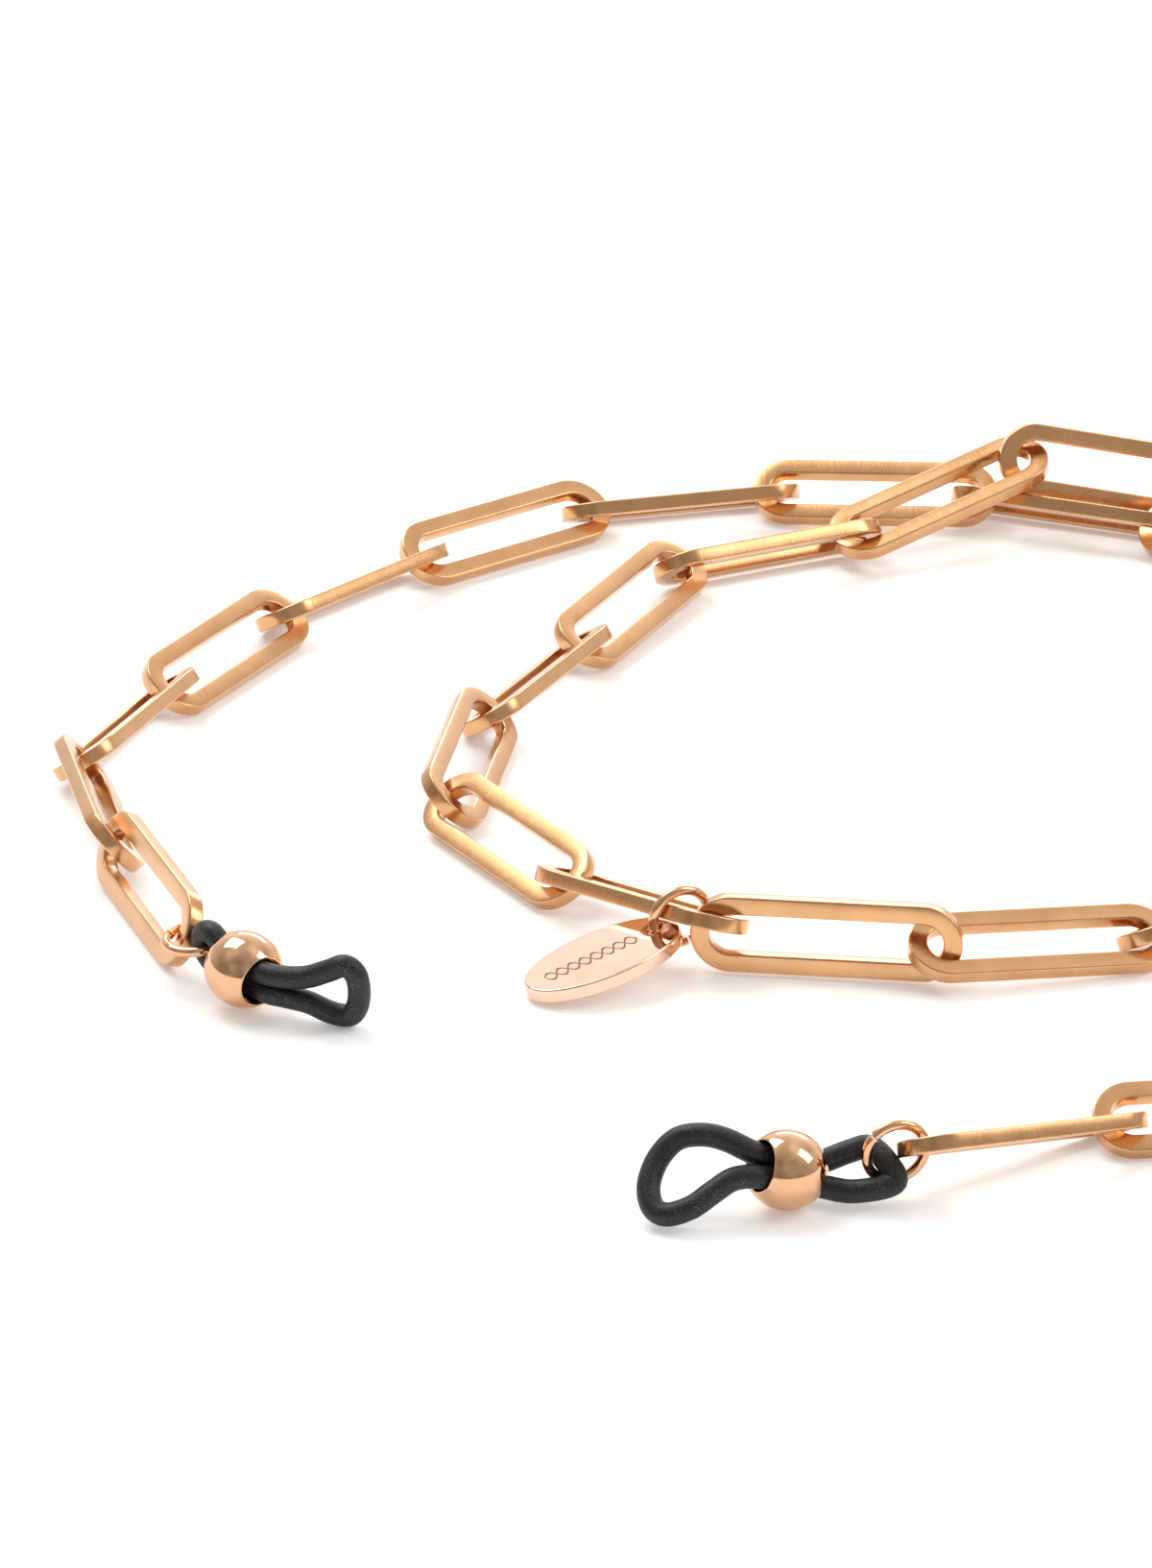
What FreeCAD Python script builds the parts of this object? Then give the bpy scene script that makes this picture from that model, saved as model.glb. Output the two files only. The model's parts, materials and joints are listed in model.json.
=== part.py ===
import FreeCAD, Part
import math
import os
import Sketcher
from FreeCAD import Placement, Rotation, Vector

# Eyeglasses chain strap: 37 flat paperclip links, a rubber temple loop with a sliding bead
# on a jump ring at each end, and an oval tag on its own jump ring. Millimetres, +Z up.
# The strap lies on the plane z = 0 as a flat spiral; the origin is the middle of its footprint.

doc = FreeCAD.newDocument("eyeglasses_chain_strap")

# ---------------------------------------------------------------- driving dimensions
DIMENSIONS = {
    "link_length": 21.5,
    "link_width": 6.3,
    "bar_width": 1.5,
    "link_thickness": 1.25,
    "edge_bevel": 0.12,
    "ring_diameter": 5.5,
    "wire_diameter": 0.8,
    "ring_opening_angle": 8.0,
    "bead_diameter": 6.1,
    "bead_bore": 3.8,
    "cord_diameter": 1.75,
    "strand_spacing": 1.84,
    "front_neck_radius": 4.0,
    "front_strand": 3.0,
    "left_front_radius": 2.0,
    "left_back_strand": 2.3,
    "left_back_radius": 1.5,
    "left_back_neck_radius": 0.9,
    "right_front_radius": 2.9,
    "right_back_strand": 2.65,
    "right_back_radius": 2.0,
    "right_back_neck_radius": 2.2,
    "side_bend_radius": 3.0,
    "tag_length": 13.8,
    "tag_width": 7.8,
    "tag_thickness": 1.2,
    "tag_hole_diameter": 1.9,
    "tag_hole_offset": 5.2,
    "tag_bevel": 0.1,
}

sheet = doc.addObject("Spreadsheet::Sheet", "dimensions")
for row, (name, value) in enumerate(DIMENSIONS.items(), start=1):
    sheet.set(f"A{row}", name)
    sheet.set(f"B{row}", str(value))
    sheet.setAlias(f"B{row}", name)
doc.recompute()

LINK_LENGTH = DIMENSIONS["link_length"]
LINK_WIDTH = DIMENSIONS["link_width"]
BAR = DIMENSIONS["bar_width"]
THICKNESS = DIMENSIONS["link_thickness"]
HALF_BAR_SPAN = (LINK_LENGTH - BAR) / 2.0

# ---------------------------------------------------------------- how the strap lies
# One row for each link, from the left end to the right end: heading on the table, roll of
# the flat face and pitch of the length in whole degrees, then in millimetres how far the
# link is held above the table and how much play it has to the next link.
LINKS = (
    (110, -67, 0, 0.0, 1.0),
    (102, 50, -1, 0.1, 0.9),
    (68, -35, -2, 0.0, 0.9),
    (60, 33, 0, 0.0, 0.9),
    (47, -31, 0, 0.0, 0.9),
    (37, 33, 0, 0.1, 1.1),
    (14, -28, 0, 0.0, 1.1),
    (-5, 32, 1, 0.1, 1.0),
    (-21, -33, 0, 0.0, 1.0),
    (-41, 35, 0, 0.0, 1.0),
    (-61, -33, 0, 0.0, 1.1),
    (-82, 33, 0, 0.0, 1.0),
    (-108, -29, 2, 0.0, 1.2),
    (-130, 89, 0, 0.0, 1.2),
    (-145, 30, -3, 0.2, 1.3),
    (-167, -26, 3, 0.2, 1.4),
    (-187, -86, 0, 0.3, 1.4),
    (-225, 22, -6, 0.9, 1.2),
    (-238, -37, 0, 0.0, 1.0),
    (-279, 42, 0, 0.0, 0.9),
    (-297, -33, 0, 0.0, 1.0),
    (-298, 29, 2, 0.2, 1.2),
    (-335, -40, 0, 0.1, 1.4),
    (-332, 14, 13, 1.5, 1.2),
    (-354, 73, -12, 0.2, 1.1),
    (-372, -33, -1, 0.0, 1.0),
    (-390, 33, 0, 0.0, 1.0),
    (-407, -33, 0, 0.0, 1.0),
    (-424, 33, 0, 0.0, 1.0),
    (-441, -33, 0, 0.0, 1.0),
    (-458, 33, 0, 0.0, 1.0),
    (-475, -33, 0, 0.0, 1.0),
    (-491, 33, 0, 0.0, 1.0),
    (-506, -33, 0, 0.0, 1.0),
    (-519, 33, 0, 0.0, 0.9),
    (-533, -31, 0, 0.0, 1.1),
    (-510, 29, 8, 0.0, 1.0),
)
ANCHOR_LINK = 17
FOOTPRINT_CENTRE = Vector(35.18, -10.28, 0.0)
ANCHOR_POINT = Vector(5.2, -29.8, 0.0)


def turned(heading, pitch, roll):
    """Rotation of a piece whose length is local X, width local Y and thickness local Z."""
    about_z = Rotation(Vector(0, 0, 1), heading)
    about_y = Rotation(Vector(0, 1, 0), -pitch)
    about_x = Rotation(Vector(1, 0, 0), roll)
    return about_z.multiply(about_y).multiply(about_x)


def facing(normal, mark):
    """Rotation that points local Z along normal and local X towards mark."""
    return Rotation(mark, Vector(0, 0, 0), normal, "ZXY")


def resting_height(pitch, roll):
    """Height of a link's middle when its lowest edge touches the table."""
    straight = (LINK_LENGTH - LINK_WIDTH) / 2.0
    across = LINK_WIDTH / 2.0 * abs(math.sin(math.radians(roll)))
    through = THICKNESS / 2.0 * abs(math.cos(math.radians(roll)))
    along = straight * abs(math.sin(math.radians(pitch)))
    return across + through + along


def link_placements():
    """Chain the links from the anchor link outwards, each hooked into the one before it."""
    rotations = [turned(heading, pitch, roll) for heading, roll, pitch, lift, play in LINKS]
    heights = [resting_height(pitch, roll) + lift for heading, roll, pitch, lift, play in LINKS]

    def half_step(index, play):
        reach = HALF_BAR_SPAN - (BAR + play) / 2.0
        step = rotations[index].multVec(Vector(reach, 0, 0))
        return Vector(step.x, step.y, 0)

    steps = []
    for index in range(len(LINKS) - 1):
        play = LINKS[index][4]
        steps.append(half_step(index, play) + half_step(index + 1, play))
    centres = [None] * len(LINKS)
    centres[ANCHOR_LINK] = ANCHOR_POINT
    for index in range(ANCHOR_LINK + 1, len(LINKS)):
        centres[index] = centres[index - 1] + steps[index - 1]
    for index in range(ANCHOR_LINK - 1, -1, -1):
        centres[index] = centres[index + 1] - steps[index]
    return [
        Placement(Vector(centre.x, centre.y, height), rotation)
        for centre, height, rotation in zip(centres, heights, rotations)
    ]


# ---------------------------------------------------------------- building blocks
def bind(thing, **expressions):
    """Tie properties of a feature to the spreadsheet."""
    for name, expression in expressions.items():
        thing.setExpression(name, expression)


def origin_plane(body, role):
    return next(item for item in body.Origin.OriginFeatures if item.Role == role)


def new_sketch(body, name):
    sketch = body.newObject("Sketcher::SketchObject", name)
    sketch.AttachmentSupport = [(origin_plane(body, "XY_Plane"), "")]
    sketch.MapMode = "FlatFace"
    return sketch


def add_stadium(sketch, spacing, radius, spacing_expression, radius_expression):
    """Two half circles joined by straight lines, centred on the sketch origin."""
    up = Vector(0, 0, 1)
    right = Part.Circle(Vector(spacing / 2.0, 0, 0), up, radius)
    left = Part.Circle(Vector(-spacing / 2.0, 0, 0), up, radius)
    quarter = math.pi / 2.0
    arc_right = sketch.addGeometry(Part.ArcOfCircle(right, -quarter, quarter))
    top = sketch.addGeometry(
        Part.LineSegment(Vector(spacing / 2.0, radius, 0), Vector(-spacing / 2.0, radius, 0))
    )
    arc_left = sketch.addGeometry(Part.ArcOfCircle(left, quarter, 3 * quarter))
    bottom = sketch.addGeometry(
        Part.LineSegment(Vector(-spacing / 2.0, -radius, 0), Vector(spacing / 2.0, -radius, 0))
    )
    sketch.addConstraint(Sketcher.Constraint("Tangent", arc_right, 2, top, 1))
    sketch.addConstraint(Sketcher.Constraint("Tangent", top, 2, arc_left, 1))
    sketch.addConstraint(Sketcher.Constraint("Tangent", arc_left, 2, bottom, 1))
    sketch.addConstraint(Sketcher.Constraint("Tangent", bottom, 2, arc_right, 1))
    sketch.addConstraint(Sketcher.Constraint("Horizontal", top))
    sketch.addConstraint(Sketcher.Constraint("Symmetric", arc_right, 3, arc_left, 3, -1, 1))
    sketch.addConstraint(Sketcher.Constraint("Equal", arc_right, arc_left))
    radius_index = sketch.addConstraint(Sketcher.Constraint("Radius", arc_right, radius))
    spacing_index = sketch.addConstraint(
        Sketcher.Constraint("DistanceX", arc_left, 3, arc_right, 3, spacing)
    )
    sketch.setExpression(f"Constraints[{radius_index}]", radius_expression)
    sketch.setExpression(f"Constraints[{spacing_index}]", spacing_expression)


def flat_face_names(shape):
    """Names of the two large faces that look along local Z."""
    names = []
    for number, face in enumerate(shape.Faces, start=1):
        normal = face.normalAt(0, 0)
        if isinstance(face.Surface, Part.Plane) and abs(normal.z) > 0.99:
            names.append(f"Face{number}")
    return names


def pad_and_bevel(body, sketch, thickness_expression, bevel_expression):
    pad = body.newObject("PartDesign::Pad", "thickness")
    pad.Profile = sketch
    pad.Midplane = True
    bind(pad, Length=thickness_expression)
    sketch.Visibility = False
    doc.recompute()
    bevel = body.newObject("PartDesign::Chamfer", "bevel")
    bevel.Base = (pad, flat_face_names(pad.Shape))
    bind(bevel, Size=bevel_expression)
    body.Tip = bevel


def make_link(label, placement):
    body = doc.addObject("PartDesign::Body", label)
    body.Label = label
    sketch = new_sketch(body, "outline")
    spacing = LINK_LENGTH - LINK_WIDTH
    straight = "dimensions.link_length - dimensions.link_width"
    add_stadium(sketch, spacing, LINK_WIDTH / 2.0, straight, "dimensions.link_width / 2")
    add_stadium(
        sketch,
        spacing,
        LINK_WIDTH / 2.0 - BAR,
        straight,
        "dimensions.link_width / 2 - dimensions.bar_width",
    )
    pad_and_bevel(body, sketch, "dimensions.link_thickness", "dimensions.edge_bevel")
    body.Placement = placement
    return body


def make_ring(label, placement):
    """A round-wire jump ring in the local XY plane; its cut faces local +X."""
    ring = doc.addObject("Part::Torus", label)
    ring.Label = label
    bind(
        ring,
        Radius1="(dimensions.ring_diameter - dimensions.wire_diameter) / 2",
        Radius2="dimensions.wire_diameter / 2",
        Angle3="360 - dimensions.ring_opening_angle",
    )
    ring.Placement = placement
    return ring


def make_bead(label, placement):
    """A polished ball with a wide bore along local X."""
    ball = doc.addObject("Part::Sphere", f"{label}_ball")
    bind(ball, Radius="dimensions.bead_diameter / 2")
    bore = doc.addObject("Part::Cylinder", f"{label}_bore")
    bore.Placement = Placement(Vector(-5, 0, 0), Rotation(Vector(0, 1, 0), 90))
    bore.Height = 10
    bind(bore, Radius="dimensions.bead_bore / 2")
    bead = doc.addObject("Part::Cut", label)
    bead.Label = label
    bead.Base = ball
    bead.Tool = bore
    bead.Placement = placement
    return bead


def cord_bend(name, frame, radius_expression, sweep):
    """A bend of round cord about the Z axis of a frame, starting on its X axis."""
    bend = doc.addObject("Part::Torus", name)
    bend.Angle3 = sweep
    bend.Placement = frame
    bind(bend, Radius1=radius_expression, Radius2="dimensions.cord_diameter / 2")
    return bend


def loop_end(name, frame, radius_name, neck_name):
    """Two flaring necks and the round end that joins them, growing along the frame's X."""
    half_gap = DIMENSIONS["strand_spacing"] / 2.0
    radius = DIMENSIONS[radius_name]
    neck = DIMENSIONS[neck_name]
    flare = math.degrees(math.acos((half_gap + neck) / (radius + neck)))
    reach = (radius + neck) * math.sin(math.radians(flare))
    bends = []
    for side, start in ((1, 270), (-1, 90 - flare)):
        centre = Vector(0, side * (half_gap + neck), 0)
        local = Placement(centre, Rotation(Vector(0, 0, 1), start))
        start_frame = frame.multiply(local)
        bends.append(cord_bend(f"{name}_neck", start_frame, f"dimensions.{neck_name}", flare))
    opening = 90 - flare
    local = Placement(Vector(reach, 0, 0), Rotation(Vector(0, 0, 1), opening - 180))
    start_frame = frame.multiply(local)
    sweep = 360 - 2 * opening
    bends.append(cord_bend(f"{name}_round", start_frame, f"dimensions.{radius_name}", sweep))
    return bends


def make_rubber_loop(side, placement, side_bend):
    """A closed loop of cord pinched to two straight strands along local X.

    The large loop for the temple arm is at local +X, the small one for the ring at -X.
    side_bend turns the large loop out of the plane of the strands, in degrees.
    """
    label = f"{side}_rubber_loop"
    half_gap = DIMENSIONS["strand_spacing"] / 2.0
    front = DIMENSIONS["front_strand"]
    back = DIMENSIONS[f"{side}_back_strand"]
    bend_radius = DIMENSIONS["side_bend_radius"]
    pieces = []
    for edge in (-half_gap, half_gap):
        strand = doc.addObject("Part::Cylinder", f"{label}_strand")
        strand.Placement = Placement(Vector(-back, edge, 0), Rotation(Vector(0, 1, 0), 90))
        bind(
            strand,
            Radius="dimensions.cord_diameter / 2",
            Height=f"dimensions.front_strand + dimensions.{side}_back_strand",
        )
        pieces.append(strand)
    front_frame = Placement(Vector(front, 0, 0), Rotation())
    if side_bend:
        onward = Rotation(Vector(0, 0, -1), Vector(0, 0, 0), Vector(0, -1, 0), "ZXY")
        for edge in (-half_gap, half_gap):
            start_frame = Placement(Vector(front, edge, bend_radius), onward)
            radius = "dimensions.side_bend_radius"
            pieces.append(cord_bend(f"{label}_side", start_frame, radius, side_bend))
        swing = Rotation(Vector(0, 1, 0), -side_bend)
        drop = swing.multVec(Vector(0, 0, -bend_radius))
        front_frame = Placement(Vector(front, 0, bend_radius) + drop, swing)
    back_frame = Placement(Vector(-back, 0, 0), Rotation(Vector(0, 0, 1), 180))
    front_radius = f"{side}_front_radius"
    back_radius = f"{side}_back_radius"
    pieces += loop_end(f"{label}_front", front_frame, front_radius, "front_neck_radius")
    pieces += loop_end(f"{label}_back", back_frame, back_radius, f"{side}_back_neck_radius")
    loop = doc.addObject("Part::MultiFuse", label)
    loop.Label = label
    loop.Shapes = pieces
    loop.Refine = True
    loop.Placement = placement
    return loop


def make_tag(label, placement):
    """An oval plate with its hanging hole towards local +X."""
    body = doc.addObject("PartDesign::Body", label)
    body.Label = label
    sketch = new_sketch(body, "outline")
    length = DIMENSIONS["tag_length"]
    width = DIMENSIONS["tag_width"]
    offset = DIMENSIONS["tag_hole_offset"]
    hole_radius = DIMENSIONS["tag_hole_diameter"] / 2.0
    rim = sketch.addGeometry(
        Part.Ellipse(Vector(length / 2.0, 0, 0), Vector(0, width / 2.0, 0), Vector(0, 0, 0))
    )
    sketch.exposeInternalGeometry(rim)
    sketch.addConstraint(Sketcher.Constraint("Coincident", rim, 3, -1, 1))
    sketch.addConstraint(Sketcher.Constraint("Horizontal", rim + 1))
    long_axis = sketch.addConstraint(Sketcher.Constraint("Distance", rim + 1, length))
    short_axis = sketch.addConstraint(Sketcher.Constraint("Distance", rim + 2, width))
    circle = Part.Circle(Vector(offset, 0, 0), Vector(0, 0, 1), hole_radius)
    hole = sketch.addGeometry(circle)
    sketch.addConstraint(Sketcher.Constraint("PointOnObject", hole, 3, -1))
    bore = sketch.addConstraint(Sketcher.Constraint("Radius", hole, hole_radius))
    place = sketch.addConstraint(Sketcher.Constraint("DistanceX", -1, 1, hole, 3, offset))
    sketch.setExpression(f"Constraints[{long_axis}]", "dimensions.tag_length")
    sketch.setExpression(f"Constraints[{short_axis}]", "dimensions.tag_width")
    sketch.setExpression(f"Constraints[{bore}]", "dimensions.tag_hole_diameter / 2")
    sketch.setExpression(f"Constraints[{place}]", "dimensions.tag_hole_offset")
    pad_and_bevel(body, sketch, "dimensions.tag_thickness", "dimensions.tag_bevel")
    body.Placement = placement
    return body


# ---------------------------------------------------------------- the assembly
nodes = []
for number, placement in enumerate(link_placements(), start=1):
    nodes.append(make_link(f"link_{number:02d}", placement))

left_finding = Placement(Vector(-25.9, -42.1, 3.2), turned(-51, -5, -80))
nodes.append(make_rubber_loop("left", left_finding, 36))
nodes.append(make_bead("left_slide_bead", left_finding))
left_ring_turn = facing(Vector(-0.08, -0.01, 1.0), Vector(-1, -1, 0))
nodes.append(make_ring("left_end_ring", Placement(Vector(-29.88, -37.12, 3.44), left_ring_turn)))

right_finding = Placement(Vector(15.7, -76.7, 3.15), turned(187, -3, -38))
nodes.append(make_rubber_loop("right", right_finding, 0))
nodes.append(make_bead("right_slide_bead", right_finding))
right_ring_turn = facing(Vector(0.30, -0.95, -0.08), Vector(-0.8, 0, 0.55))
nodes.append(make_ring("right_end_ring", Placement(Vector(23.87, -75.24, 3.91), right_ring_turn)))

tag_ring_turn = facing(Vector(-0.43, 0.90, 0.09), Vector(0, 0, 1))
nodes.append(make_ring("tag_ring", Placement(Vector(8.18, -34.88, 4.34), tag_ring_turn)))
nodes.append(make_tag("tag", Placement(Vector(2.16, -38.01, 2.06), turned(30.5, 10.7, -3.2))))

for node in nodes:
    node.Placement = Placement(FOOTPRINT_CENTRE.negative(), Rotation()).multiply(node.Placement)

# ---------------------------------------------------------------- check and write
doc.recompute()
for item in doc.Objects:
    if "Invalid" in item.State or "Error" in item.State:
        raise RuntimeError(f"{item.Label} did not recompute: {item.State}")

os.makedirs("parts", exist_ok=True)
for node in nodes:
    shape = node.Shape
    if shape.isNull() or not shape.isValid() or len(shape.Solids) != 1:
        raise RuntimeError(f"{node.Label} is not one valid solid")
    shape.exportStep(os.path.join("parts", f"{node.Label}.step"))
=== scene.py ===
import json
import math

import bpy
import numpy as np
from mathutils import Matrix, Vector


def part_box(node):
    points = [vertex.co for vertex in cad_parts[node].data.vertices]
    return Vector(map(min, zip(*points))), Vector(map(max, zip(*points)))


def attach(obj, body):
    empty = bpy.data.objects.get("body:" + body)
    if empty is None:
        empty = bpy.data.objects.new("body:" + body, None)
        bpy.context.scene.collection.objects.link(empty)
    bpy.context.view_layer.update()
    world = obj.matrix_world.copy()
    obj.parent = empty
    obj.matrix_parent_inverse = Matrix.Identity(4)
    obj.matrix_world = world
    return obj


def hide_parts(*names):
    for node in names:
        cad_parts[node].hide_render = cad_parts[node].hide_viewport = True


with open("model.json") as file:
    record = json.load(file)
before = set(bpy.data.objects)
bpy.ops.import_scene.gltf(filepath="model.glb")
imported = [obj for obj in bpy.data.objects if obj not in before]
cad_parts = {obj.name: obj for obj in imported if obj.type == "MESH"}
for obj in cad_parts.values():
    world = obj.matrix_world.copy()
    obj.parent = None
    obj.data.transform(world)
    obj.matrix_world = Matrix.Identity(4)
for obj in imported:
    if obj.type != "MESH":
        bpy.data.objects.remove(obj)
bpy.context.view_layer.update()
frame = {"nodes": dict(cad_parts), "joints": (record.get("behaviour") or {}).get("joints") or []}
NODES = frame["nodes"]

MM = 0.001
LINK_LENGTH = 21.5 * MM
LINK_WIDTH = 6.3 * MM
BAR_WIDTH = 1.5 * MM
LINK_THICKNESS = 1.25 * MM
LINK_EDGE = 0.15 * MM
RING_RADIUS = 2.35 * MM
WIRE_RADIUS = 0.40 * MM
RING_CUT_DEGREES = 5.0
CORD_RADIUS = 0.91 * MM
BEAD_RADIUS = 3.05 * MM
BEAD_STRETCH = 1.06
BORE_RADIUS = 1.9 * MM
BORE_RIM = 0.13 * MM
TAG_LENGTH = 13.8 * MM
TAG_WIDTH = 7.8 * MM
TAG_THICKNESS = 1.2 * MM
TAG_EDGE = 0.16 * MM
TAG_HOLE_RADIUS = 0.95 * MM
TAG_HOLE_OFFSET = 5.2 * MM


# ---------------------------------------------------------------- where the CAD pieces lie
def triangles(node):
    """Corner coordinates of every triangle of a CAD node, as an (n, 3, 3) array."""
    mesh = NODES[node].data
    mesh.calc_loop_triangles()
    points = np.zeros(len(mesh.vertices) * 3)
    mesh.vertices.foreach_get("co", points)
    corners = np.zeros(len(mesh.loop_triangles) * 3, dtype=np.int64)
    mesh.loop_triangles.foreach_get("vertices", corners)
    return points.reshape(-1, 3)[corners.reshape(-1, 3)]


def principal_frame(node):
    """Matrix from a piece's own axes (longest first) to the row frame, by its volume."""
    corners = triangles(node)
    a, b, c = corners[:, 0], corners[:, 1], corners[:, 2]
    volumes = np.einsum("ij,ij->i", a, np.cross(b, c)) / 6.0
    centre = ((a + b + c) / 4.0 * volumes[:, None]).sum(0) / volumes.sum()
    a, b, c = a - centre, b - centre, c - centre
    volumes = np.einsum("ij,ij->i", a, np.cross(b, c)) / 6.0
    total = a + b + c
    spread = sum(np.einsum("n,ni,nj->ij", volumes, p, p) for p in (a, b, c, total)) / 20.0
    values, axes = np.linalg.eigh(spread)
    first = Vector(axes[:, 2])
    third = Vector(axes[:, 0])
    second = third.cross(first)
    matrix = Matrix((first, second, third)).transposed().to_4x4()
    matrix.translation = Vector(centre)
    return matrix


def flipped(matrix, first, third):
    """The same axes with the first and the third each turned to point the given way."""
    turn = matrix.to_3x3()
    length, normal = turn.col[0].copy(), turn.col[2].copy()
    if length.dot(first) < 0:
        length.negate()
    if normal.dot(third) < 0:
        normal.negate()
    result = Matrix((length, normal.cross(length), normal)).transposed().to_4x4()
    result.translation = matrix.translation
    return result


def box_centre(node):
    """Middle of a CAD node's bounding box."""
    low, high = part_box(node)
    return (Vector(low) + Vector(high)) / 2


# ---------------------------------------------------------------- meshes
def mesh_object(name, points, faces, matrix, material, smooth_angle=40.0):
    """A mesh at a place, smooth except where its faces meet at more than the angle."""
    mesh = bpy.data.meshes.new(name)
    mesh.from_pydata([tuple(p) for p in points], [], faces)
    mesh.validate()
    mesh.update()
    mesh.shade_smooth()
    mesh.set_sharp_from_angle(angle=math.radians(smooth_angle))
    thing = bpy.data.objects.new(name, mesh)
    bpy.context.scene.collection.objects.link(thing)
    thing.matrix_world = matrix
    mesh.materials.append(material)
    return thing


def swept_mesh(path, outward, up, profile, closed=True):
    """A profile of (outward, up) points carried along a path, capped where it isn't closed."""
    steps = len(path)
    around = len(profile)
    points = []
    for place, out, lift in zip(path, outward, up):
        points += [place + out * x + lift * y for x, y in profile]
    faces = []
    for i in range(steps if closed else steps - 1):
        here, there = i * around, (i + 1) % steps * around
        for k in range(around):
            following = (k + 1) % around
            faces.append((here + k, there + k, there + following, here + following))
    if not closed:
        faces.append(tuple(range(around)))
        faces.append(tuple((steps - 1) * around + k for k in reversed(range(around))))
    return points, faces


def rounded_rectangle(width, height, radius, steps=4):
    """Outline of a bar's section, with each corner drawn as a short arc."""
    points = []
    for cx, cy, start in ((1, 1, 0), (-1, 1, 90), (-1, -1, 180), (1, -1, 270)):
        for k in range(steps + 1):
            angle = math.radians(start + 90.0 * k / steps)
            x = cx * (width / 2 - radius) + radius * math.cos(angle)
            y = cy * (height / 2 - radius) + radius * math.sin(angle)
            points.append((x, y))
    return points


def round_section(radius, count):
    """Outline of a wire's or cord's round section."""
    turns = [2 * math.pi * k / count for k in range(count)]
    return [(radius * math.cos(t), radius * math.sin(t)) for t in turns]


def link_shape(end_steps=32, side_steps=12):
    """One paperclip link in its own axes: an oval of rectangular bar with rounded edges."""
    radius = (LINK_WIDTH - BAR_WIDTH) / 2
    half = (LINK_LENGTH - LINK_WIDTH) / 2
    path, outward, length_along = [], [], []
    for side in (1, -1):
        for k in range(end_steps + 1):
            angle = math.radians(-90 + 180 * k / end_steps) + (0 if side > 0 else math.pi)
            direction = Vector((math.cos(angle), math.sin(angle), 0))
            path.append(Vector((side * half, 0, 0)) + direction * radius)
            outward.append(direction)
        for k in range(1, side_steps):
            along = side * half * (1 - 2 * k / side_steps)
            path.append(Vector((along, side * radius, 0)))
            outward.append(Vector((0, side, 0)))
    up = [Vector((0, 0, 1))] * len(path)
    profile = rounded_rectangle(BAR_WIDTH, LINK_THICKNESS, LINK_EDGE)
    return swept_mesh(path, outward, up, profile)


def ring_shape(steps=96):
    """A round-wire ring with a narrow cut at local +X."""
    path, outward = [], []
    for k in range(steps + 1):
        angle = math.radians(RING_CUT_DEGREES / 2 + (360 - RING_CUT_DEGREES) * k / steps)
        direction = Vector((math.cos(angle), math.sin(angle), 0))
        path.append(direction * RING_RADIUS)
        outward.append(direction)
    up = [Vector((0, 0, 1))] * len(path)
    return swept_mesh(path, outward, up, round_section(WIRE_RADIUS, 24), closed=False)


def smooth_loop(points, steps=10):
    """A closed Catmull-Rom curve through the points."""
    count = len(points)
    path = []
    for i in range(count):
        before, start, end, after = (points[(i + k) % count] for k in (-1, 0, 1, 2))
        for k in range(steps):
            t = k / steps
            place = 2 * start + (end - before) * t
            place += (2 * before - 5 * start + 4 * end - after) * t**2
            place += (3 * start - before - 3 * end + after) * t**3
            path.append(place / 2)
    return path


def cord_shape(points):
    """A closed loop of round cord through points in millimetres."""
    path = smooth_loop([Vector(point) * MM for point in points])
    outward, up = [], []
    for k, place in enumerate(path):
        tangent = (path[(k + 1) % len(path)] - path[k - 1]).normalized()
        side = tangent.cross(Vector((0, 0, 1))).normalized()
        outward.append(side)
        up.append(side.cross(tangent))
    return swept_mesh(path, outward, up, round_section(CORD_RADIUS, 28))


def bead_shape(ball_steps=48, rim_steps=8, around=96):
    """A ball with a bore along local X, a softly rounded rim and a little extra length."""
    rim = BORE_RIM
    reach = math.sqrt((BEAD_RADIUS - rim) ** 2 - (BORE_RADIUS + rim) ** 2)
    start = math.atan2(BORE_RADIUS + rim, reach)
    outline = []
    for k in range(ball_steps + 1):
        angle = start + (math.pi - 2 * start) * k / ball_steps
        outline.append((BEAD_RADIUS * math.cos(angle), BEAD_RADIUS * math.sin(angle)))
    for k in range(1, rim_steps + 1):
        angle = math.pi - start + (math.pi / 2 + start) * k / rim_steps
        outline.append((-reach + rim * math.cos(angle), BORE_RADIUS + rim + rim * math.sin(angle)))
    for k in range(rim_steps):
        angle = -math.pi / 2 + (math.pi / 2 + start) * k / rim_steps
        outline.append((reach + rim * math.cos(angle), BORE_RADIUS + rim + rim * math.sin(angle)))
    turns = [math.radians(360 / around * k) for k in range(around)]
    path = [Vector((0, 0, 0))] * len(turns)
    outward = [Vector((0, math.cos(t), math.sin(t))) for t in turns]
    along = [Vector((1, 0, 0))] * len(turns)
    return swept_mesh(path, outward, along, [(r, x * BEAD_STRETCH) for x, r in outline])


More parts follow.
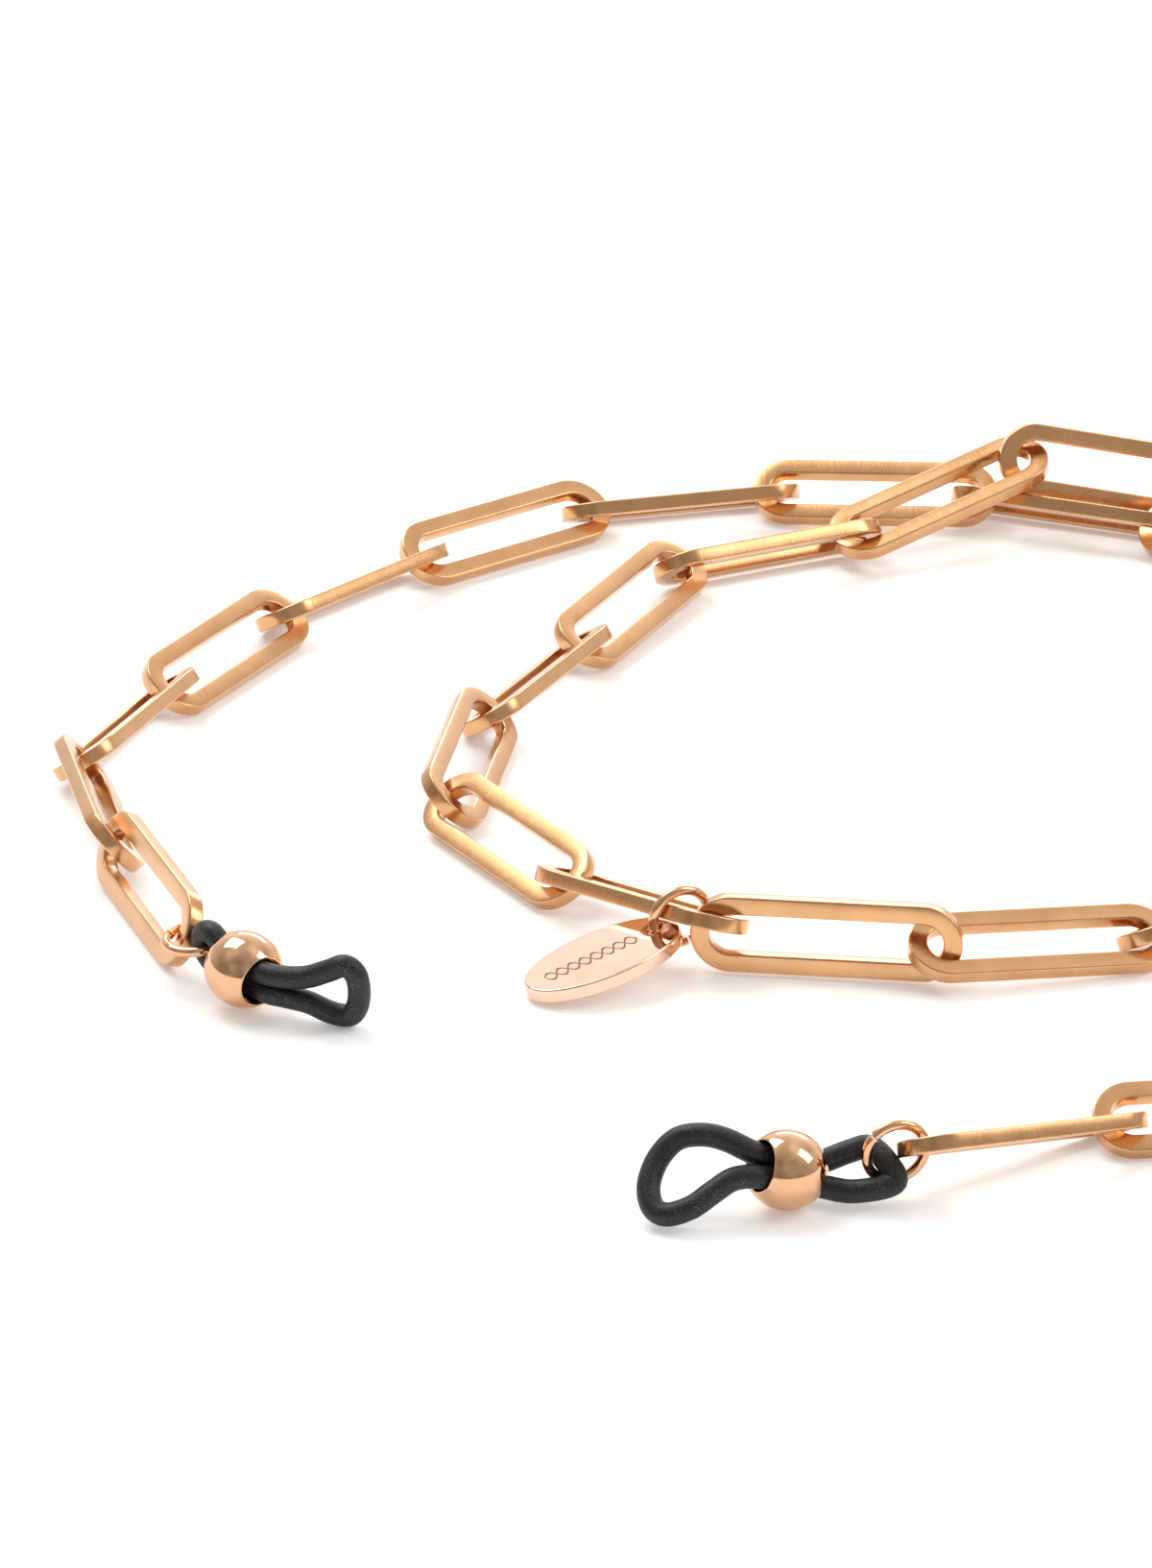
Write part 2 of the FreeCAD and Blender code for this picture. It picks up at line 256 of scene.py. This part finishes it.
def tag_shape(count=160, edge_steps=6, face_steps=12):
    """An oval plate with a hole towards local +X, softly rounded at both edges."""
    half = TAG_THICKNESS / 2
    hole = Vector((TAG_HOLE_OFFSET, 0, 0))
    levels = []
    for k in range(edge_steps + 1):
        angle = math.pi / 2 * k / edge_steps
        inset = TAG_EDGE * (1 - math.cos(angle))
        levels.append((inset, half - TAG_EDGE + TAG_EDGE * math.sin(angle)))

    def oval(inset, height):
        long_half, short_half = TAG_LENGTH / 2 - inset, TAG_WIDTH / 2 - inset
        turns = [2 * math.pi * k / count for k in range(count)]
        return [Vector((long_half * math.cos(t), short_half * math.sin(t), height)) for t in turns]

    guide = oval(0, 0)

    def bore(inset, height):
        radius = TAG_HOLE_RADIUS + inset
        result = []
        for point in guide:
            direction = Vector((point.x - hole.x, point.y, 0)).normalized()
            result.append(hole + direction * radius + Vector((0, 0, height)))
        return result

    def face(height, steps):
        outer, inner = oval(TAG_EDGE, height), bore(TAG_EDGE, height)
        return [[a.lerp(b, k / face_steps) for a, b in zip(outer, inner)] for k in steps]

    rings = [oval(inset, -height) for inset, height in reversed(levels)]
    rings += [oval(inset, height) for inset, height in levels]
    rings += face(half, range(1, face_steps))
    rings += [bore(inset, height) for inset, height in reversed(levels)]
    rings += [bore(inset, -height) for inset, height in levels]
    rings += face(-half, range(face_steps - 1, 0, -1))
    points = [point for ring in rings for point in ring]
    faces = []
    for i in range(len(rings)):
        here, there = i * count, (i + 1) % len(rings) * count
        for k in range(count):
            following = (k + 1) % count
            faces.append((here + k, here + following, there + following, there + k))
    return points, faces


# ---------------------------------------------------------------- materials
def new_material(name):
    """A new material, its node tree and its shader."""
    material = bpy.data.materials.new(name)
    material.use_nodes = True
    tree = material.node_tree
    return material, tree, tree.nodes["Principled BSDF"]


def add(tree, kind, **inputs):
    """A new node, with the named inputs set."""
    node = tree.nodes.new(kind)
    for name, value in inputs.items():
        node.inputs[name.replace("_", " ")].default_value = value
    return node


def ramp(tree, factor, low, high, start=0.3, end=0.7):
    """Colour that runs from low to high as the factor goes from start to end."""
    node = tree.nodes.new("ShaderNodeValToRGB")
    node.color_ramp.elements[0].position = start
    node.color_ramp.elements[0].color = (*low, 1)
    node.color_ramp.elements[1].position = end
    node.color_ramp.elements[1].color = (*high, 1)
    tree.links.new(factor, node.inputs["Fac"])
    return node.outputs["Color"]


def scaled(tree, vector, scale):
    """A vector multiplied by a scale on each axis."""
    node = tree.nodes.new("ShaderNodeMapping")
    node.inputs["Scale"].default_value = scale
    tree.links.new(vector, node.inputs["Vector"])
    return node.outputs["Vector"]


def to_range(tree, factor, low, high):
    """A factor of 0 to 1 spread over low to high."""
    node = add(tree, "ShaderNodeMapRange", To_Min=low, To_Max=high)
    tree.links.new(factor, node.inputs["Value"])
    return node.outputs["Result"]


def brushed_gold():
    """Rose-gold plating with fine lines brushed across the long bars."""
    material, tree, shader = new_material("brushed_rose_gold")
    coordinates = tree.nodes.new("ShaderNodeTexCoord").outputs["Object"]
    lines = add(tree, "ShaderNodeTexNoise", Scale=1.0, Detail=3.0, Roughness=0.6)
    tree.links.new(scaled(tree, coordinates, (9000, 500, 500)), lines.inputs["Vector"])
    patches = add(tree, "ShaderNodeTexNoise", Scale=260.0, Detail=2.0)
    tree.links.new(coordinates, patches.inputs["Vector"])
    colour = ramp(tree, patches.outputs["Fac"], (0.635, 0.340, 0.150), (0.735, 0.415, 0.195))
    tree.links.new(colour, shader.inputs["Base Color"])
    rough = to_range(tree, lines.outputs["Fac"], 0.14, 0.34)
    tree.links.new(rough, shader.inputs["Roughness"])
    bump = add(tree, "ShaderNodeBump", Strength=0.2, Distance=0.00005)
    tree.links.new(lines.outputs["Fac"], bump.inputs["Height"])
    tree.links.new(bump.outputs["Normal"], shader.inputs["Normal"])
    shader.inputs["Metallic"].default_value = 1.0
    shader.inputs["Coat Weight"].default_value = 0.6
    shader.inputs["Coat Roughness"].default_value = 0.18
    return material


def polished_gold(name, low, high, roughness):
    """Mirror-polished rose-gold plating with the faintest haze."""
    material, tree, shader = new_material(name)
    coordinates = tree.nodes.new("ShaderNodeTexCoord").outputs["Object"]
    haze = add(tree, "ShaderNodeTexNoise", Scale=420.0, Detail=3.0)
    tree.links.new(coordinates, haze.inputs["Vector"])
    colour = ramp(tree, haze.outputs["Fac"], low, high)
    tree.links.new(colour, shader.inputs["Base Color"])
    rough = to_range(tree, haze.outputs["Fac"], roughness * 0.6, roughness * 1.6)
    tree.links.new(rough, shader.inputs["Roughness"])
    shader.inputs["Metallic"].default_value = 1.0
    return material, tree, shader, coordinates


def engraved_gold():
    """Polished plating with a lightly engraved double wave along the plate, its grooves coloured dark
    brown as painted shade.
    """
    low, high = (0.84, 0.58, 0.44), (0.89, 0.64, 0.50)
    material, tree, shader, coordinates = polished_gold("engraved_rose_gold", low, high, 0.07)
    split = tree.nodes.new("ShaderNodeSeparateXYZ")
    tree.links.new(coordinates, split.inputs["Vector"])

    def maths(operation, first, second=None):
        node = tree.nodes.new("ShaderNodeMath")
        node.operation = operation
        for socket, value in zip(node.inputs, (first, second)):
            if isinstance(value, (int, float)):
                socket.default_value = value
            elif value is not None:
                tree.links.new(value, socket)
        return node.outputs["Value"]

    turns = maths("MULTIPLY", split.outputs["X"], 2 * math.pi / (2.1 * MM))
    grooves = []
    for shift in (0.0, math.pi):
        shifted = maths("MULTIPLY", maths("SINE", maths("ADD", turns, shift)), 0.62 * MM)
        gap = maths("ABSOLUTE", maths("SUBTRACT", split.outputs["Y"], shifted))
        grooves.append(maths("LESS_THAN", gap, 0.13 * MM))
    groove_with_painted_shade = maths("MAXIMUM", grooves[0], grooves[1])
    middle = maths("ABSOLUTE", maths("ADD", split.outputs["X"], 1.0 * MM))
    inside = maths("LESS_THAN", middle, 4.2 * MM)
    top = maths("GREATER_THAN", split.outputs["Z"], 0.4 * MM)
    groove_with_painted_shade = maths("MULTIPLY", groove_with_painted_shade, maths("MULTIPLY", inside, top))
    bump = add(tree, "ShaderNodeBump", Strength=0.5, Distance=0.00006)
    bump.invert = True
    tree.links.new(groove_with_painted_shade, bump.inputs["Height"])
    tree.links.new(bump.outputs["Normal"], shader.inputs["Normal"])
    # Painted shade: the groove mask mixes the base colour towards dark brown, standing in for the
    # shade inside the engraved grooves.
    mix = tree.nodes.new("ShaderNodeMix")
    mix.data_type = "RGBA"
    tree.links.new(groove_with_painted_shade, mix.inputs["Factor"])
    old = shader.inputs["Base Color"].links[0].from_socket
    tree.links.new(old, mix.inputs["A"])
    mix.inputs["B"].default_value = (0.24, 0.11, 0.06, 1)
    tree.links.new(mix.outputs["Result"], shader.inputs["Base Color"])
    return material


def black_rubber():
    """Matte black rubber with pale dust specks."""
    material, tree, shader = new_material("dusty_black_rubber")
    coordinates = tree.nodes.new("ShaderNodeTexCoord").outputs["Object"]
    specks = add(tree, "ShaderNodeTexNoise", Scale=7000.0, Detail=3.0, Roughness=0.65)
    tree.links.new(coordinates, specks.inputs["Vector"])
    cloud = add(tree, "ShaderNodeTexNoise", Scale=700.0, Detail=2.0)
    tree.links.new(coordinates, cloud.inputs["Vector"])
    dust = tree.nodes.new("ShaderNodeMath")
    dust.operation = "MULTIPLY"
    tree.links.new(specks.outputs["Fac"], dust.inputs[0])
    tree.links.new(to_range(tree, cloud.outputs["Fac"], 0.38, 0.62), dust.inputs[1])
    colour = ramp(tree, dust.outputs["Value"], (0.005, 0.005, 0.006), (0.11, 0.105, 0.10), 0.28, 0.37)
    tree.links.new(colour, shader.inputs["Base Color"])
    rough = to_range(tree, specks.outputs["Fac"], 0.38, 0.62)
    tree.links.new(rough, shader.inputs["Roughness"])
    bump = add(tree, "ShaderNodeBump", Strength=0.25, Distance=0.00003)
    tree.links.new(specks.outputs["Fac"], bump.inputs["Height"])
    tree.links.new(bump.outputs["Normal"], shader.inputs["Normal"])
    return material


BRUSHED = brushed_gold()
POLISHED = polished_gold("polished_rose_gold", (0.74, 0.43, 0.24), (0.80, 0.48, 0.29), 0.06)[0]
ENGRAVED = engraved_gold()
RUBBER = black_rubber()

# ---------------------------------------------------------------- the pieces
JOINTS = {joint["child"]: joint for joint in frame["joints"]}
# The part of the CAD loop within this distance of the bead, along its strands, shows how
# the two strands lie.
STRAND_REACH = 3.1 * MM


def stand_in(thing, node):
    """Put a piece in the place of a CAD node, on the same body."""
    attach(thing, node)
    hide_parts(node)


def finding_frame(side):
    """Bead centre, with X along the strands to the front, Y from strand to strand."""
    bead = principal_frame(f"{side}_slide_bead").translation
    along = Vector(JOINTS[f"{side}_slide_bead"]["axis"]).normalized()
    offsets = triangles(f"{side}_rubber_loop").reshape(-1, 3) - np.array(bead)
    reach = offsets @ np.array(along)
    if abs(reach.min()) > reach.max():
        along, reach = -along, -reach
    near = offsets[np.abs(reach) < STRAND_REACH]
    near = near - np.outer(near @ np.array(along), np.array(along))
    across = Vector(np.linalg.eigh(np.cov(near.T))[1][:, 2])
    if across.z < 0:
        across.negate()
    across = (across - along * along.dot(across)).normalized()
    matrix = Matrix((along, across, along.cross(across))).transposed().to_4x4()
    matrix.translation = bead
    return matrix


# Each loop's centre line in millimetres, in its finding's own frame: out of the bead at the
# front, round the loop that takes the temple arm, and back round the ring.
CORD_ROUTES = {
    "left": [
        (0, 0.92, 0),
        (2.4, 0.92, -0.05),
        (4.2, 0.95, -0.85),
        (5.7, 1.15, -1.95),
        (7.2, 1.95, -3.05),
        (8.3, 2.55, -3.85),
        (9.0, 1.85, -4.3),
        (9.1, 0.3, -4.4),
        (8.85, -1.25, -4.2),
        (8.25, -2.15, -3.75),
        (7.0, -2.05, -2.9),
        (5.6, -1.3, -1.9),
        (4.2, -0.95, -0.85),
        (2.4, -0.92, -0.05),
        (0, -0.92, 0),
        (-2.3, -0.92, 0),
        (-3.9, -1.5, 0),
        (-4.95, -1.05, 0),
        (-5.37, 0, 0),
        (-4.95, 1.05, 0),
        (-3.9, 1.5, 0),
        (-2.3, 0.92, 0),
    ],
    "right": [
        (0, 0.92, 0),
        (2.2, 1.05, -1.2),
        (4.4, 2.3, -1.55),
        (6.1, 2.95, -1.4),
        (7.9, 3.0, -0.95),
        (9.45, 1.8, -0.4),
        (10.4, -0.1, -0.1),
        (10.35, -1.9, -0.1),
        (9.4, -2.8, -0.4),
        (7.6, -2.7, -1.0),
        (5.9, -1.85, -1.4),
        (4.2, -1.0, -1.55),
        (2.3, -0.9, -1.25),
        (0, -0.92, 0),
        (-2.4, -1.0, 1.27),
        (-4.9, -1.75, 1.2),
        (-7.9, -1.7, 0.55),
        (-7.6, 0, 0.5),
        (-6.55, 1.6, 0.9),
        (-5.0, 1.55, 1.2),
        (-2.4, 0.95, 1.3),
    ],
}
# The right bead is turned from the CAD bead, about its finding's local Y.
BORE_TURN = {"left": 0.0, "right": math.radians(29)}
# The way each ring's cut faces.
RING_CUTS = {
    "left_end_ring": (-1, 0.4, 0),
    "right_end_ring": (-0.75, 0, 0.65),
    "tag_ring": (0.3, 0.2, -1),
}

LINK_POINTS, LINK_FACES = link_shape()
LINK_NAMES = sorted(name for name in NODES if name.startswith("link_"))
for name in LINK_NAMES:
    place = principal_frame(name)
    link = mesh_object(f"{name}_bar", LINK_POINTS, LINK_FACES, place, BRUSHED, 30.0)
    stand_in(link, name)

BEAD_POINTS, BEAD_FACES = bead_shape()
for side, points in CORD_ROUTES.items():
    place = finding_frame(side)
    points_of_cord, faces_of_cord = cord_shape(points)
    loop = f"{side}_rubber_loop"
    cord = mesh_object(f"{loop}_cord", points_of_cord, faces_of_cord, place, RUBBER)
    stand_in(cord, loop)
    node = f"{side}_slide_bead"
    turned = place @ Matrix.Rotation(BORE_TURN[side], 4, "Y")
    bead = mesh_object(f"{node}_ball", BEAD_POINTS, BEAD_FACES, turned, POLISHED)
    stand_in(bead, node)

RING_POINTS, RING_FACES = ring_shape()
for node, cut in RING_CUTS.items():
    normal = principal_frame(node).to_3x3().col[2].normalized()
    towards_cut = Vector(cut)
    towards_cut = (towards_cut - normal * normal.dot(towards_cut)).normalized()
    across = normal.cross(towards_cut)
    place = Matrix((towards_cut, across, normal)).transposed().to_4x4()
    place.translation = box_centre(node)
    ring = mesh_object(f"{node}_wire", RING_POINTS, RING_FACES, place, POLISHED)
    stand_in(ring, node)

TAG_POINTS, TAG_FACES = tag_shape()
tag_place = principal_frame("tag")
towards_ring = box_centre("tag_ring") - tag_place.translation
tag_place = flipped(tag_place, towards_ring, Vector((0, 0, 1)))
tag_place.translation = box_centre("tag")
tag = mesh_object("tag_plate", TAG_POINTS, TAG_FACES, tag_place, ENGRAVED)
stand_in(tag, "tag")

# ---------------------------------------------------------------- table, light and camera
bpy.ops.mesh.primitive_plane_add(size=4.0, location=(0, 0, 0))
table = bpy.context.object
table.name = "table"
table_material, tree, shader = new_material("pale_table")
grain = add(tree, "ShaderNodeTexNoise", Scale=6.0, Detail=2.0)
tree.links.new(tree.nodes.new("ShaderNodeTexCoord").outputs["Object"], grain.inputs["Vector"])
colour = ramp(tree, grain.outputs["Fac"], (0.94, 0.94, 0.945), (0.97, 0.97, 0.97))
tree.links.new(colour, shader.inputs["Base Color"])
shader.inputs["Roughness"].default_value = 0.6
shader.inputs["Specular IOR Level"].default_value = 0.2
shader.inputs["Emission Color"].default_value = (1.0, 1.0, 1.0, 1)
shader.inputs["Emission Strength"].default_value = 0.22
table.data.materials.append(table_material)

world = bpy.data.worlds.new("studio")
bpy.context.scene.world = world
world.use_nodes = True
tree = world.node_tree
background = tree.nodes["Background"]
direction = tree.nodes.new("ShaderNodeTexCoord").outputs["Generated"]
height = tree.nodes.new("ShaderNodeVectorMath")
height.operation = "DOT_PRODUCT"
height.inputs[1].default_value = (0.10, 0.72, 0.68)
tree.links.new(direction, height.inputs[0])
sky = ramp(tree, height.outputs["Value"], (0.48, 0.46, 0.44), (1.14, 1.13, 1.11), 0.0, 0.85)
room = add(tree, "ShaderNodeTexNoise", Scale=1.3, Detail=1.0)
tree.links.new(direction, room.inputs["Vector"])
shade = ramp(tree, room.outputs["Fac"], (0.66, 0.64, 0.62), (1.06, 1.06, 1.06), 0.36, 0.62)
mix = tree.nodes.new("ShaderNodeMix")
mix.data_type = "RGBA"
mix.blend_type = "MULTIPLY"
mix.inputs["Factor"].default_value = 1.0
tree.links.new(sky, mix.inputs["A"])
tree.links.new(shade, mix.inputs["B"])
tree.links.new(mix.outputs["Result"], background.inputs["Color"])
background.inputs["Strength"].default_value = 1.0


def softbox(name, place, size, power):
    """A rectangular area light that faces the middle of the footprint."""
    light = bpy.data.lights.new(name, "AREA")
    light.shape = "RECTANGLE"
    light.size, light.size_y = size
    light.energy = power
    lamp = bpy.data.objects.new(name, light)
    bpy.context.scene.collection.objects.link(lamp)
    lamp.location = place
    lamp.rotation_euler = (Vector((0, 0, 0)) - Vector(place)).to_track_quat("-Z", "Y").to_euler()


softbox("key_softbox", (-0.40, 0.40, 0.80), (0.5, 0.6), 4.2)
softbox("fill_softbox", (0.66, -0.10, 0.60), (0.36, 0.55), 1.8)
softbox("back_softbox", (0.15, 0.95, 0.42), (0.7, 0.2), 1.8)
bpy.context.scene.view_settings.view_transform = "Standard"

AIM = Vector((-35.18, 10.28, 0.0)) * MM
ELEVATION = math.radians(24.35)
DISTANCE = 740.7 * MM
SENSOR_WIDTH, FOCAL_LENGTH = 36.0, 280.8
camera_data = bpy.data.cameras.new("camera")
camera_data.sensor_fit = "HORIZONTAL"
camera_data.sensor_width = SENSOR_WIDTH
camera_data.lens = FOCAL_LENGTH
camera_data.clip_start = 0.05
camera_data.clip_end = 20.0
camera = bpy.data.objects.new("camera", camera_data)
camera.location = AIM + DISTANCE * Vector((0, -math.cos(ELEVATION), math.sin(ELEVATION)))
camera.rotation_euler = (math.pi / 2 - ELEVATION, 0, 0)
bpy.context.scene.collection.objects.link(camera)
bpy.context.scene.camera = camera
